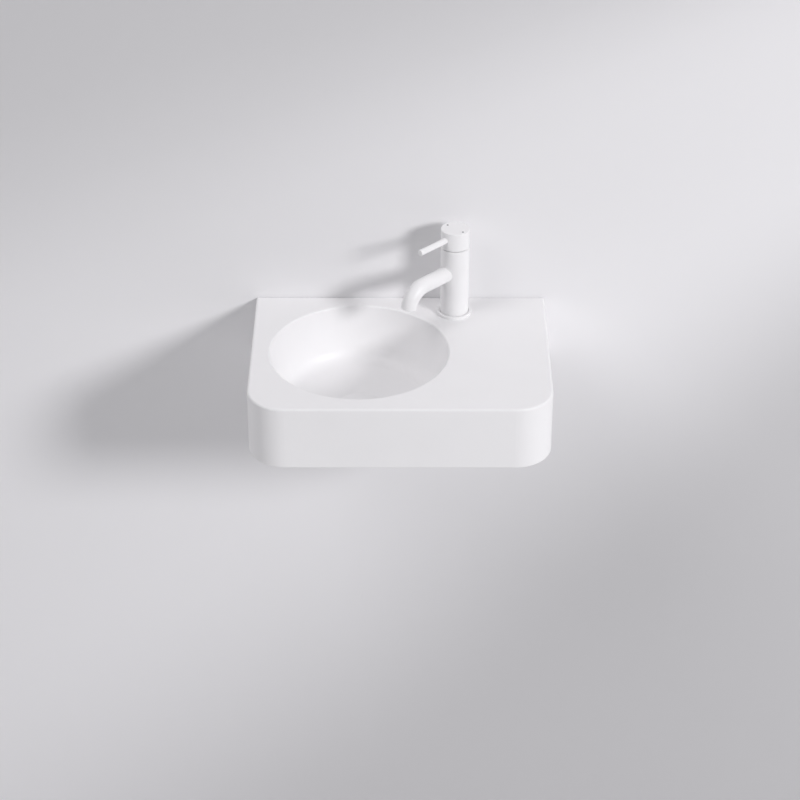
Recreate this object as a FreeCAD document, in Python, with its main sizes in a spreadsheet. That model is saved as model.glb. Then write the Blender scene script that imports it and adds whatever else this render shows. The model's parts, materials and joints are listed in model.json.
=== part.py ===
import FreeCAD, Part
import math
import os
import Sketcher

# A small wall-hung ceramic basin with a push-to-open waste and a pin-lever mixer.
# Millimetres and degrees. The origin lies on the wall, midway between the two fixing holes; +Y goes into the wall.

SIZES = {
    # Slab of the basin, built up from the bowl and its margins
    "bowl_radius": 120.0,
    "bowl_side_margin": 25.0,
    "bowl_rear_margin": 23.0,
    "bowl_front_margin": 27.0,
    "shelf_width": 135.0,
    "apron_height": 90.0,
    "front_corner_radius": 50.0,
    "arris_radius": 3.0,
    "rear_arris_radius": 1.0,
    "foot_arris_radius": 1.5,
    "side_wall": 12.0,
    "rear_wall": 12.0,
    "deck_thickness": 12.0,
    # Fixing holes in the rear wall, for 10 mm hanger bolts
    "fixing_side_margin": 50.0,
    "fixing_drop": 45.0,
    "fixing_radius": 6.0,
    # Bowl
    "bowl_depth": 90.0,
    "bowl_wall_inset": 16.0,
    "bowl_foot_rise": 14.0,
    "bowl_foot_radius": 24.0,
    "bowl_rim_round": 2.7,
    "bowl_wall": 10.0,
    "floor_thickness": 8.0,
    "recess_clearance": 0.5,
    "recess_arris": 0.6,
    "waste_hole_clearance": 1.5,
    # Waste flange and tail with an inch and a quarter pipe thread
    "flange_radius": 30.0,
    "flange_edge": 1.8,
    "flange_chamfer": 0.5,
    "flange_dish": 0.5,
    "seat_width": 4.3,
    "seat_depth": 4.0,
    "tail_radius": 20.955,
    "tail_wall": 3.755,
    "tail_length": 66.0,
    "trap_thread_length": 34.0,
    "thread_relief_width": 3.0,
    "thread_relief_depth": 0.6,
    "flange_seal_thickness": 1.2,
    "flange_seal_inset": 0.5,
    # Cross that carries the click unit
    "hub_radius": 7.5,
    "hub_top_drop": 33.0,
    "hub_height": 7.0,
    "spoke_width": 3.0,
    # Washers and nut under the basin
    "washer_clearance": 0.25,
    "tapered_washer_height": 5.0,
    "tapered_washer_width": 8.0,
    "tapered_washer_flare": 2.5,
    "tapered_lip_height": 2.0,
    "tapered_lip_width": 1.0,
    "friction_washer_thickness": 1.2,
    "backnut_height": 9.0,
    "backnut_corner_radius": 29.0,
    "thread_clearance": 0.05,
    "underseat_margin": 7.0,
    # Click unit
    "housing_wall": 1.5,
    "housing_floor": 2.0,
    "housing_height": 25.0,
    "housing_lip": 1.5,
    "housing_spigot_radius": 4.0,
    "housing_spigot_length": 6.5,
    "plunger_clearance": 0.07,
    "plunger_stem_radius": 4.0,
    "stem_clearance": 0.3,
    "plunger_head_height": 3.2,
    "plug_travel": 7.0,
    "travel_margin": 0.3,
    "plunger_stem_top_drop": 3.4,
    "plunger_screw_radius": 2.5,
    "plunger_screw_length": 3.6,
    "spring_radius": 4.6,
    "spring_wire_radius": 0.45,
    "spring_turns": 6.0,
    # Waste cap
    "cap_radius": 29.5,
    "cap_lift": 0.8,
    "cap_edge": 4.8,
    "cap_crown": 1.0,
    "cap_round": 1.8,
    "cap_skirt_wall": 2.7,
    "cap_skirt_depth": 5.3,
    "cap_lip": 0.7,
    "cap_lip_height": 1.2,
    "cap_boss_wall": 3.4,
    "plug_seal_cord": 1.4,
    "plug_seal_offset": 0.43,
    "plug_seal_drop": 1.78,
    "plug_seal_play": 0.03,
    # Place of the tap, measured from the bowl and the wall
    "tap_past_bowl": 9.2,
    "tap_from_wall": 38.6,
    "spout_turn": 45.0,
    "handle_turn": 45.0,
    # Inlets and fixing stud in the underside of the tap body
    "inlet_forward": 4.6,
    "inlet_spread": 6.4,
    "inlet_thread_radius": 4.46,
    "inlet_thread_depth": 14.0,
    "tap_hole_radius": 17.5,
    "stud_back": 9.5,
    "stud_radius": 4.0,
    "stud_engagement": 17.5,
    "stud_hole_spare": 0.5,
    "stud_tail": 20.0,
    "stud_chamfer": 0.8,
    "pad_thickness": 3.0,
    "pad_width": 6.0,
    "pad_slot_margin": 1.6,
    "pad_slot_back": 3.0,
    "pad_hole_clearance": 0.3,
    "horseshoe_thickness": 2.0,
    "nut_height": 7.0,
    "nut_corner_radius": 7.5,
    # Base ring
    "ring_floor": 1.5,
    "ring_lip_height": 2.5,
    "ring_gap": 0.57,
    "ring_rim": 2.1,
    "ring_round": 1.0,
    "ring_inner_round": 0.5,
    "ring_bore_step": 2.3,
    "base_seal_inset": 0.4,
    "base_seal_width": 3.8,
    "base_seal_thickness": 0.9,
    # Tap body, built outwards from the cartridge
    "cartridge_radius": 12.5,
    "pocket_clearance": 0.15,
    "nut_step": 2.0,
    "body_wall": 4.63,
    "body_top_chamfer": 1.0,
    "nut_recess": 1.0,
    "head_gap": 1.1,
    # Spout
    "spout_height": 66.0,
    "spout_radius": 10.85,
    "spout_bore_radius": 7.6,
    "spout_straight": 60.3,
    "spout_bend_radius": 28.4,
    "spout_bend": 79.3,
    "spout_end_length": 1.5,
    "spout_end_round": 0.5,
    "socket_clearance": 0.05,
    "socket_wall": 1.35,
    "spigot_radius": 7.5,
    "spigot_wall": 2.0,
    "spigot_length": 5.5,
    "spigot_step": 2.0,
    # Waterways
    "port_radius": 2.0,
    "inlet_port_forward": 3.8,
    "inlet_port_spread": 5.0,
    "outlet_port_back": 4.0,
    "seat_web": 2.15,
    # Aerator
    "aerator_recess": 0.8,
    "aerator_radius": 8.2,
    "aerator_clearance": 0.05,
    "aerator_wall": 1.3,
    "aerator_height": 6.0,
    "aerator_ledge": 0.9,
    "aerator_ledge_height": 1.2,
    "aerator_seal_thickness": 1.2,
    "aerator_seal_width": 2.4,
    "insert_play": 0.05,
    "insert_height": 4.2,
    "insert_hole_radius": 0.6,
    "insert_hole_pitch": 1.75,
    # Ceramic cartridge
    "base_thickness": 2.5,
    "port_seal_height": 1.2,
    "port_seal_wall": 1.1,
    "fixed_disc_thickness": 2.5,
    "fixed_disc_play": 0.3,
    "moving_disc_thickness": 2.5,
    "moving_disc_radius": 9.0,
    "mixing_recess_radius": 4.0,
    "mixing_recess_depth": 1.5,
    "mixing_recess_back": 0.4,
    "carrier_thickness": 3.5,
    "carrier_floor": 0.5,
    "ball_play": 0.3,
    "housing_side": 1.2,
    "housing_top": 2.4,
    "guide_play": 0.3,
    "guide_flange": 7.0,
    "guide_side_play": 0.4,
    "neck_radius": 7.6,
    "neck_play": 0.4,
    "neck_rise": 2.5,
    "slot_back": 6.2,
    "slot_front": 4.0,
    "slot_play": 0.15,
    "pivot_rise": 4.7,
    "pivot_radius": 1.25,
    "pivot_play": 0.03,
    "pivot_inset": 0.9,
    "pivot_chamfer": 0.3,
    "cartridge_nut_height": 5.0,
    "cartridge_nut_bore_play": 1.0,
    "nut_slot_width": 3.0,
    "nut_slot_depth": 1.5,
    # Spindle
    "stem_width": 6.0,
    "eye_radius": 3.4,
    "arm_radius": 1.5,
    "ball_radius": 1.9,
    "arm_length": 5.8,
    # Handle
    "head_height": 25.8,
    "skirt_wall": 0.85,
    "skirt_chamfer": 0.3,
    "head_round": 0.6,
    "cavity_depth": 5.4,
    "head_boss_radius": 6.5,
    "head_boss_setback": 1.7,
    "socket_depth": 10.5,
    "socket_play": 0.1,
    "socket_end_play": 0.3,
    "lever_drop": 11.6,
    "lever_radius": 4.1,
    "lever_reach": 67.6,
    "lever_hole_play": 0.05,
    "lever_seat": 14.0,
    "lever_screw_radius": 2.95,
    "lever_screw_length": 7.0,
    "lever_hole_spare": 1.0,
    "lever_end_round": 0.6,
    "grub_drop": 17.0,
    "grub_radius": 2.5,
    "grub_length": 7.0,
    "grub_hex_radius": 1.45,
    "grub_hex_depth": 3.0,
    "cover_length": 4.0,
    "cover_setback": 0.3,
    "mark_radius": 1.5,
    "mark_depth": 0.4,
    "mark_circle_radius": 14.3,
    # Shared
    "overrun": 1.0,
}

FULL_TURN = 360.0
RIGHT_ANGLE = 90.0
HALF_TURN = 180.0
SPOKES = 3
NUT_SLOTS = 4
HEX_SIDES = 6
INSERT_RINGS = 3


class Term:
    """A length or angle together with the sheet expression that gives it."""

    def __init__(self, number, text):
        self.number = number
        self.text = text

    def __add__(self, other):
        other = as_term(other)
        return Term(self.number + other.number, f"({self.text} + {other.text})")

    def __sub__(self, other):
        other = as_term(other)
        return Term(self.number - other.number, f"({self.text} - {other.text})")

    def __mul__(self, other):
        other = as_term(other)
        return Term(self.number * other.number, f"({self.text} * {other.text})")

    def __truediv__(self, other):
        other = as_term(other)
        return Term(self.number / other.number, f"({self.text} / {other.text})")

    def __neg__(self):
        return Term(-self.number, f"(0 - {self.text})")


class Sheet:
    """Gives each named size of the sheet as a term."""

    def __getattr__(self, name):
        return Term(SIZES[name], f"Sizes.{name}")


def as_term(value):
    return value if isinstance(value, Term) else Term(float(value), repr(float(value)))


def sine(angle):
    return Term(math.sin(math.radians(angle.number)), f"sin({angle.text} * 1deg)")


def cosine(angle):
    return Term(math.cos(math.radians(angle.number)), f"cos({angle.text} * 1deg)")


size = Sheet()
zero = as_term(0)
over = size.overrun
doc = FreeCAD.newDocument("Basin")
sheet = doc.addObject("Spreadsheet::Sheet", "Sizes")
for row, (name, number) in enumerate(SIZES.items(), 1):
    sheet.set(f"A{row}", name)
    sheet.set(f"B{row}", str(number))
    sheet.setAlias(f"B{row}", name)
doc.recompute()

pieces = {}


# Derived places

basin_width = size.bowl_side_margin + size.bowl_radius * 2 + size.shelf_width
basin_depth = size.bowl_rear_margin + size.bowl_radius * 2 + size.bowl_front_margin
bowl_across = size.bowl_side_margin + size.bowl_radius - basin_width / 2
bowl_out = size.bowl_rear_margin + size.bowl_radius
tap_across = bowl_across + size.bowl_radius + size.tap_past_bowl
fixing_across = basin_width / 2 - size.fixing_side_margin

body_bottom = size.ring_floor
pocket_radius = size.cartridge_radius + size.pocket_clearance
nut_bore_radius = pocket_radius + size.nut_step + size.thread_clearance
body_radius = nut_bore_radius + size.body_wall
socket_floor = pocket_radius + size.socket_wall
seat_height = size.spout_height + size.spigot_radius + size.socket_clearance + size.seat_web
disc_height = seat_height + size.base_thickness
moving_height = disc_height + size.fixed_disc_thickness
carrier_height = moving_height + size.moving_disc_thickness
guide_height = carrier_height + size.carrier_thickness + size.guide_play
pivot_height = guide_height + size.pivot_rise
guide_top = guide_height + size.guide_flange
housing_top = guide_top + size.guide_play + size.housing_top
nut_top = housing_top + size.cartridge_nut_height
body_top = nut_top + size.nut_recess
head_bottom = body_top + size.head_gap
head_top = head_bottom + size.head_height
lever_height = head_top - size.lever_drop
socket_bottom = head_bottom + size.head_boss_setback
socket_top = socket_bottom + size.socket_depth

FRAMES = {
    "basin": (zero, zero, size.fixing_drop, zero),
    "waste": (bowl_across, -bowl_out, size.fixing_drop - size.bowl_depth, zero),
    "tap": (tap_across, -size.tap_from_wall, size.fixing_drop, size.spout_turn + HALF_TURN),
    "handle": (tap_across, -size.tap_from_wall, size.fixing_drop, size.handle_turn + HALF_TURN),
}

X_AXIS = FreeCAD.Vector(1, 0, 0)
Y_AXIS = FreeCAD.Vector(0, 1, 0)
Z_AXIS = FreeCAD.Vector(0, 0, 1)


# Helpers that bind shapes to the sheet


class Arc:
    """A circular arc between two points of an outline; its centre lies left or right of the way along it."""

    def __init__(self, radius, centre_left):
        self.radius = radius
        self.centre_left = centre_left


def bind(thing, values):
    for path, value in values.items():
        thing.setExpression(path, value.text)


def arc_geometry(start, end, arc):
    chord = end - start
    half = chord.Length / 2
    left = FreeCAD.Vector(-chord.y, chord.x, 0)
    left.normalize()
    height = math.sqrt(max(arc.radius.number**2 - half**2, 0))
    centre = (start + end) / 2 + left * (height if arc.centre_left else -height)
    first, last = (start, end) if arc.centre_left else (end, start)
    circle = Part.Circle(centre, Z_AXIS, arc.radius.number)
    turn_first = math.atan2(first.y - centre.y, first.x - centre.x)
    turn_last = math.atan2(last.y - centre.y, last.x - centre.x)
    if turn_last < turn_first:
        turn_last += math.radians(FULL_TURN)
    return Part.ArcOfCircle(circle, turn_first, turn_last)


def new_sketch(body, name, role, shift):
    sketch = body.newObject("Sketcher::SketchObject", name)
    plane = next(feature for feature in body.Origin.OriginFeatures if feature.Role == role)
    sketch.AttachmentSupport = [(plane, "")]
    sketch.MapMode = "FlatFace"
    for axis, distance in zip("xyz", shift):
        bind(sketch, {f"AttachmentOffset.Base.{axis}": distance})
    return sketch


def outline(body, name, role, entries, shift=(zero, zero, zero)):
    """A closed sketch through points, each held by its two distances from the sketch's origin."""
    sketch = new_sketch(body, name, role, shift)
    points = [entry for entry in entries if not isinstance(entry, Arc)]
    arcs = {}
    for index, entry in enumerate(entries):
        if isinstance(entry, Arc):
            arcs[sum(not isinstance(other, Arc) for other in entries[:index]) - 1] = entry
    places = [FreeCAD.Vector(across.number, up.number, 0) for across, up in points]
    ends = []
    for index, start in enumerate(places):
        end = places[(index + 1) % len(places)]
        if index in arcs:
            edge = sketch.addGeometry(arc_geometry(start, end, arcs[index]), False)
            ends.append((edge, 1, 2) if arcs[index].centre_left else (edge, 2, 1))
        else:
            edge = sketch.addGeometry(Part.LineSegment(start, end), False)
            ends.append((edge, 1, 2))
    for index, (edge, head, tail) in enumerate(ends):
        following, next_head, next_tail = ends[(index + 1) % len(ends)]
        sketch.addConstraint(Sketcher.Constraint("Coincident", edge, tail, following, next_head))
    for index, (edge, head, tail) in enumerate(ends):
        for kind, value in zip(("DistanceX", "DistanceY"), points[index]):
            constraint = Sketcher.Constraint(kind, -1, 1, edge, head, value.number)
            bind(sketch, {f"Constraints[{sketch.addConstraint(constraint)}]": value})
        if index in arcs:
            constraint = Sketcher.Constraint("Radius", edge, arcs[index].radius.number)
            bind(sketch, {f"Constraints[{sketch.addConstraint(constraint)}]": arcs[index].radius})
    return sketch


def circles(body, name, role, holes, shift):
    """A sketch of full circles, each given by its centre and radius."""
    sketch = new_sketch(body, name, role, shift)
    for across, up, radius in holes:
        centre = FreeCAD.Vector(across.number, up.number, 0)
        edge = sketch.addGeometry(Part.Circle(centre, Z_AXIS, radius.number), False)
        for kind, value in (("DistanceX", across), ("DistanceY", up)):
            constraint = Sketcher.Constraint(kind, -1, 1, edge, 3, value.number)
            bind(sketch, {f"Constraints[{sketch.addConstraint(constraint)}]": value})
        constraint = Sketcher.Constraint("Radius", edge, radius.number)
        bind(sketch, {f"Constraints[{sketch.addConstraint(constraint)}]": radius})
    return sketch


def feature(body, kind, name, sketch, values, backwards=False):
    made = body.newObject(f"PartDesign::{kind}", name)
    made.Profile = sketch
    made.Reversed = backwards
    bind(made, values)
    return made


def spun(body, kind, name, sketch):
    """A full turn of a profile about its sketch's upright axis."""
    made = body.newObject(f"PartDesign::{kind}", name)
    made.Profile = sketch
    made.ReferenceAxis = (sketch, ["V_Axis"])
    made.Angle = FULL_TURN
    return made


def near(one, other):
    return abs(one - other) < 1e-4 * max(1.0, abs(other))


def is_circle(edge, radius):
    return not edge.Degenerated and isinstance(edge.Curve, Part.Circle) and near(edge.Curve.Radius, radius.number)


def circle_edges(shape, radius, height):
    """Names of the level circular edges of a given radius at a given height."""
    names = []
    for index, edge in enumerate(shape.Edges, 1):
        if is_circle(edge, radius) and near(edge.Curve.Center.z, height.number):
            names.append(f"Edge{index}")
    return names


def rounded(body, name, base, edges, radius):
    made = body.newObject("PartDesign::Fillet", name)
    made.Base = (base, edges)
    bind(made, {"Radius": radius})
    return made


def seat(thing, frame, local=(zero, zero, zero), lean=None):
    """Places a piece in its frame, at a local point; lean turns its own upright axis first."""
    across, out, up, turn = FRAMES[frame]
    forward, side, lift = local
    if lean is not None:
        thing.Placement.Rotation = FreeCAD.Rotation(Z_AXIS, turn.number).multiply(lean)
    else:
        thing.Placement.Rotation = FreeCAD.Rotation(Z_AXIS, RIGHT_ANGLE)
        bind(thing, {"Placement.Rotation.Angle": turn})
    bind(thing, {
        "Placement.Base.x": across + cosine(turn) * forward - sine(turn) * side,
        "Placement.Base.y": out + sine(turn) * forward + cosine(turn) * side,
        "Placement.Base.z": up + lift,
    })


def finished(thing, label, frame, local=(zero, zero, zero), lean=None):
    thing.Label = label
    seat(thing, frame, local, lean)
    pieces[label] = thing
    return thing


def turned(name, entries):
    """A body of revolution about its own upright axis from a half profile of radius and height."""
    body = doc.addObject("PartDesign::Body", name)
    spun(body, "Revolution", f"{name}_turn", outline(body, f"{name}_profile", "XZ_Plane", entries))
    return body


def ring(name, outer, inner, bottom, top):
    return turned(name, [(inner, bottom), (outer, bottom), (outer, top), (inner, top)])


def rod(name, radius, length, start, axis=Z_AXIS):
    """A cylinder from a start point along one of the frame's axes."""
    made = doc.addObject("Part::Cylinder", name)
    made.Placement.Rotation = FreeCAD.Rotation(Z_AXIS, axis)
    bind(made, {"Radius": radius, "Height": length})
    bind(made, {f"Placement.Base.{letter}": value for letter, value in zip("xyz", start)})
    return made


def block(name, extents, corner):
    made = doc.addObject("Part::Box", name)
    bind(made, dict(zip(("Length", "Width", "Height"), extents)))
    bind(made, {f"Placement.Base.{letter}": value for letter, value in zip("xyz", corner)})
    return made


def hexagon(name, corner_radius, height, start):
    made = doc.addObject("Part::Prism", name)
    made.Polygon = HEX_SIDES
    bind(made, {"Circumradius": corner_radius, "Height": height})
    bind(made, {f"Placement.Base.{letter}": value for letter, value in zip("xyz", start)})
    return made


def joined(name, solids):
    made = doc.addObject("Part::MultiFuse", name)
    made.Shapes = solids
    made.Refine = True
    return made


def cut(name, base, tools):
    made = doc.addObject("Part::Cut", name)
    made.Base = base
    made.Tool = tools[0] if len(tools) == 1 else joined(f"{name}_tools", tools)
    return made


# Cast basin


def make_basin():
    body = doc.addObject("PartDesign::Body", "basin_shell")
    half = basin_width / 2
    inner = half - size.side_wall
    plan = [(-half, -basin_depth), (half, -basin_depth), (half, zero), (-half, zero)]
    slab = feature(body, "Pad", "slab", outline(body, "slab_plan", "XY_Plane", plan), {"Length": size.apron_height}, True)
    doc.recompute()

    def upright(shape, across, out):
        names = []
        for index, edge in enumerate(shape.Edges, 1):
            middle = edge.CenterOfMass
            if near(abs(middle.x), across.number) and near(middle.y, out.number):
                names.append(f"Edge{index}")
        return names

    def on_wall(edge):
        return all(near(vertex.Y, zero.number) for vertex in edge.Vertexes)

    def level(shape, height):
        names = []
        for index, edge in enumerate(shape.Edges, 1):
            if all(near(vertex.Z, height.number) for vertex in edge.Vertexes) and not on_wall(edge):
                names.append(f"Edge{index}")
        return names

    corners = upright(slab.Shape, half, -basin_depth)
    slab = rounded(body, "front_corners", slab, corners, size.front_corner_radius)
    doc.recompute()
    slab = rounded(body, "top_arris", slab, level(slab.Shape, zero), size.arris_radius)
    doc.recompute()
    slab = rounded(body, "foot_arris", slab, level(slab.Shape, -size.apron_height), size.foot_arris_radius)
    doc.recompute()
    rear = [f"Edge{index}" for index, edge in enumerate(slab.Shape.Edges, 1) if on_wall(edge)]
    rounded(body, "rear_arris", slab, rear, size.rear_arris_radius)
    corner = size.front_corner_radius - size.side_wall
    front = size.side_wall - basin_depth
    hollow_plan = [
        (corner - inner, front),
        (inner - corner, front),
        Arc(corner, True),
        (inner, front + corner),
        (inner, -size.rear_wall),
        (-inner, -size.rear_wall),
        (-inner, front + corner),
        Arc(corner, True),
    ]
    hollow_shift = (zero, zero, -size.apron_height)
    hollow_sketch = outline(body, "hollow_plan", "XY_Plane", hollow_plan, hollow_shift)
    hollow_depth = size.apron_height - size.deck_thickness
    feature(body, "Pocket", "hollow", hollow_sketch, {"Length": hollow_depth}, True)
    doc.recompute()

    bowl_shift = (bowl_across, zero, bowl_out)
    foot_radius = size.bowl_radius - size.bowl_wall_inset
    foot_drop = size.bowl_depth - size.bowl_foot_rise
    recess_radius = size.flange_radius + size.recess_clearance
    recess_depth = size.flange_seal_thickness + size.flange_edge
    underside = size.bowl_depth + recess_depth + size.floor_thickness
    underseat_radius = recess_radius + size.underseat_margin
    outer_foot = foot_radius + size.bowl_wall
    outer_drop = foot_drop + recess_depth + size.floor_thickness
    bowl_profile = [
        (zero, -size.deck_thickness / 2),
        (size.bowl_radius + size.bowl_wall, -size.deck_thickness / 2),
        (outer_foot, -outer_drop),
        (underseat_radius, -underside),
        (zero, -underside),
    ]
    bowl = spun(body, "Revolution", "bowl_outside", outline(body, "bowl_outline", "XZ_Plane", bowl_profile, bowl_shift))
    doc.recompute()
    foot = circle_edges(bowl.Shape, outer_foot, -outer_drop)
    bowl = rounded(body, "bowl_outer_foot", bowl, foot, size.bowl_foot_radius + size.bowl_wall)
    hole_radius = size.tail_radius + size.waste_hole_clearance
    bore_profile = [
        (zero, over),
        (size.bowl_radius, over),
        (size.bowl_radius, zero),
        (foot_radius, -foot_drop),
        (recess_radius, -size.bowl_depth),
        (recess_radius, -size.bowl_depth - recess_depth),
        (hole_radius, -size.bowl_depth - recess_depth),
        (hole_radius, -underside - over),
        (zero, -underside - over),
    ]
    bore = spun(body, "Groove", "bowl_inside", outline(body, "bowl_inline", "XZ_Plane", bore_profile, bowl_shift))
    doc.recompute()
    bore = rounded(body, "bowl_foot", bore, circle_edges(bore.Shape, foot_radius, -foot_drop), size.bowl_foot_radius)
    doc.recompute()
    bore = rounded(body, "bowl_rim", bore, circle_edges(bore.Shape, size.bowl_radius, zero), size.bowl_rim_round)
    doc.recompute()
    recess = circle_edges(bore.Shape, recess_radius, -size.bowl_depth)
    rounded(body, "recess_rim", bore, recess, size.recess_arris)

    tap_hole = [(tap_across, -size.tap_from_wall, size.tap_hole_radius)]
    tap_sketch = circles(body, "tap_hole_plan", "XY_Plane", tap_hole, (zero, zero, over))
    feature(body, "Pocket", "tap_hole", tap_sketch, {"Length": size.deck_thickness + over * 2})
    holes = [(side, -size.fixing_drop, size.fixing_radius) for side in (fixing_across, -fixing_across)]
    holes_sketch = circles(body, "fixing_hole_plan", "XZ_Plane", holes, (zero, zero, -over))
    feature(body, "Pocket", "fixing_holes", holes_sketch, {"Length": size.rear_wall + over * 2}, True)
    finished(body, "basin_shell", "basin")
    return underside


# Waste, in its own frame: zero height is the bowl floor at the waste


def make_waste():
    bore = size.tail_radius - size.tail_wall
    seat_radius = bore + size.seat_width
    recess_depth = size.flange_seal_thickness + size.flange_edge
    relief_bottom = size.trap_thread_length - size.tail_length
    relief_top = relief_bottom + size.thread_relief_width
    relief_radius = size.tail_radius - size.thread_relief_depth
    tube = turned("waste_tube", [
        (bore, -size.tail_length),
        (size.tail_radius, -size.tail_length),
        (size.tail_radius, relief_bottom),
        (relief_radius, relief_bottom),
        (relief_radius, relief_top),
        (size.tail_radius, relief_top),
        (size.tail_radius, -size.flange_edge),
        (size.flange_radius, -size.flange_edge),
        (size.flange_radius, -size.flange_chamfer),
        (size.flange_radius - size.flange_chamfer, zero),
        (seat_radius, -size.flange_dish),
        (bore, -size.flange_dish - size.seat_depth),
    ])
    hub_bottom = -size.hub_top_drop - size.hub_height
    hub = rod("waste_hub", size.hub_radius, size.hub_height, (zero, zero, hub_bottom))
    spokes = []
    for index in range(SPOKES):
        spoke = doc.addObject("Part::Box", f"waste_spoke_{index + 1}")
        turn = as_term(FULL_TURN * index / SPOKES)
        spoke.Placement.Rotation = FreeCAD.Rotation(Z_AXIS, turn.number)
        bind(spoke, {
            "Length": bore + size.tail_wall / 2,
            "Width": size.spoke_width,
            "Height": size.hub_height,
            "Placement.Base.x": sine(turn) * size.spoke_width / 2,
            "Placement.Base.y": -cosine(turn) * size.spoke_width / 2,
            "Placement.Base.z": hub_bottom,
        })
        spokes.append(spoke)
    whole = joined("waste_blank", [tube, hub] + spokes)
    thread = rod("hub_thread", size.housing_spigot_radius + size.thread_clearance,
                 size.hub_height + over * 2, (zero, zero, hub_bottom - over))
    finished(cut("waste_body", whole, [thread]), "waste_body", "waste")

    seal_outer = size.flange_radius - size.flange_seal_inset
    hole_radius = size.tail_radius + size.waste_hole_clearance
    seal = ring("flange_seal", seal_outer, hole_radius, -recess_depth, -size.flange_edge)
    finished(seal, "flange_seal", "waste")

    inner = size.tail_radius + size.washer_clearance
    under = -recess_depth - size.floor_thickness
    washer_bottom = under - size.tapered_washer_height
    tapered = turned("tapered_washer", [
        (inner, washer_bottom),
        (inner + size.tapered_washer_width, washer_bottom),
        (inner + size.tapered_washer_width + size.tapered_washer_flare, under),
        (inner + size.tapered_lip_width, under),
        (inner + size.tapered_lip_width / 2, under + size.tapered_lip_height),
        (inner, under + size.tapered_lip_height),
    ])
    finished(tapered, "tapered_washer", "waste")
    friction_bottom = washer_bottom - size.friction_washer_thickness
    friction = ring("friction_washer", inner + size.tapered_washer_width, inner, friction_bottom, washer_bottom)
    finished(friction, "friction_washer", "waste")
    nut_bottom = friction_bottom - size.backnut_height
    nut = hexagon("backnut_blank", size.backnut_corner_radius, size.backnut_height, (zero, zero, nut_bottom))
    nut_thread = rod("backnut_thread", size.tail_radius + size.thread_clearance,
                     size.backnut_height + over * 2, (zero, zero, nut_bottom - over))
    finished(cut("waste_backnut", nut, [nut_thread]), "waste_backnut", "waste")


def make_click_unit():
    barrel_bottom = -size.hub_top_drop
    floor = barrel_bottom + size.housing_floor
    barrel_top = barrel_bottom + size.housing_height
    barrel = size.hub_radius
    bore = barrel - size.housing_wall
    mouth = size.plunger_stem_radius + size.stem_clearance
    housing = turned("click_housing", [
        (zero, barrel_bottom - size.housing_spigot_length),
        (size.housing_spigot_radius, barrel_bottom - size.housing_spigot_length),
        (size.housing_spigot_radius, barrel_bottom),
        (barrel, barrel_bottom),
        (barrel, barrel_top),
        (mouth, barrel_top),
        (mouth, barrel_top - size.housing_lip),
        (bore, barrel_top - size.housing_lip),
        (bore, floor),
        (zero, floor),
    ])
    finished(housing, "click_housing", "waste")
    head_top_rest = barrel_top - size.housing_lip - size.travel_margin - size.plug_travel
    head_bottom_rest = head_top_rest - size.plunger_head_height
    stem_top = -size.plunger_stem_top_drop
    screw_top = stem_top + size.plunger_screw_length
    plunger = turned("click_plunger", [
        (zero, head_bottom_rest),
        (bore - size.plunger_clearance, head_bottom_rest),
        (bore - size.plunger_clearance, head_top_rest),
        (size.plunger_stem_radius, head_top_rest),
        (size.plunger_stem_radius, stem_top),
        (size.plunger_screw_radius, stem_top),
        (size.plunger_screw_radius, screw_top),
        (zero, screw_top),
    ])
    finished(plunger, "click_plunger", "waste")

    wire = size.spring_wire_radius
    rise = head_bottom_rest - floor - wire * 2
    helix = doc.addObject("Part::Helix", "spring_path")
    helix.LocalCoord = "Right-handed"
    bind(helix, {"Pitch": rise / size.spring_turns, "Height": rise, "Radius": size.spring_radius})
    section = doc.addObject("Part::Circle", "spring_section")
    section.Placement.Rotation = FreeCAD.Rotation(X_AXIS, RIGHT_ANGLE)
    bind(section, {"Radius": wire, "Placement.Base.x": size.spring_radius})
    spring = doc.addObject("Part::Sweep", "click_spring")
    spring.Sections = [section]
    spring.Spine = (helix, ["Edge1"])
    spring.Solid = True
    spring.Frenet = True
    finished(spring, "click_spring", "waste", (zero, zero, floor + wire))

    cap_top = size.cap_lift + size.cap_edge
    seal_radius = size.tail_radius - size.tail_wall + size.plug_seal_offset
    skirt = seal_radius - size.plug_seal_cord - size.plug_seal_play
    skirt_bottom = size.cap_lift - size.cap_skirt_depth
    boss = size.plunger_screw_radius + size.thread_clearance + size.cap_boss_wall
    crown = (size.cap_radius * size.cap_radius + size.cap_crown * size.cap_crown) / (size.cap_crown * 2)
    body = doc.addObject("PartDesign::Body", "plug_cap")
    profile = outline(body, "plug_cap_profile", "XZ_Plane", [
        (zero, screw_top),
        (size.plunger_screw_radius + size.thread_clearance, screw_top),
        (size.plunger_screw_radius + size.thread_clearance, stem_top),
        (boss, stem_top),
        (boss, size.cap_lift),
        (skirt - size.cap_skirt_wall, size.cap_lift),
        (skirt - size.cap_skirt_wall, skirt_bottom),
        (skirt + size.cap_lip / 2, skirt_bottom),
        (skirt + size.cap_lip, skirt_bottom + size.cap_lip_height),
        (skirt, skirt_bottom + size.cap_lip_height),
        (skirt, size.cap_lift),
        (size.cap_radius, size.cap_lift),
        (size.cap_radius, cap_top),
        Arc(crown, True),
        (zero, cap_top + size.cap_crown),
    ])
    cap = spun(body, "Revolution", "plug_cap_turn", profile)
    doc.recompute()
    rounded(body, "plug_cap_edge", cap, circle_edges(cap.Shape, size.cap_radius, cap_top), size.cap_round)
    finished(body, "plug_cap", "waste")
    seal = doc.addObject("Part::Torus", "plug_seal")
    bind(seal, {"Radius1": seal_radius, "Radius2": size.plug_seal_cord})
    finished(seal, "plug_seal", "waste", (zero, zero, -size.plug_seal_drop))


# Tap, in its own frame: zero height is the deck, and +X points along the spout


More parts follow.
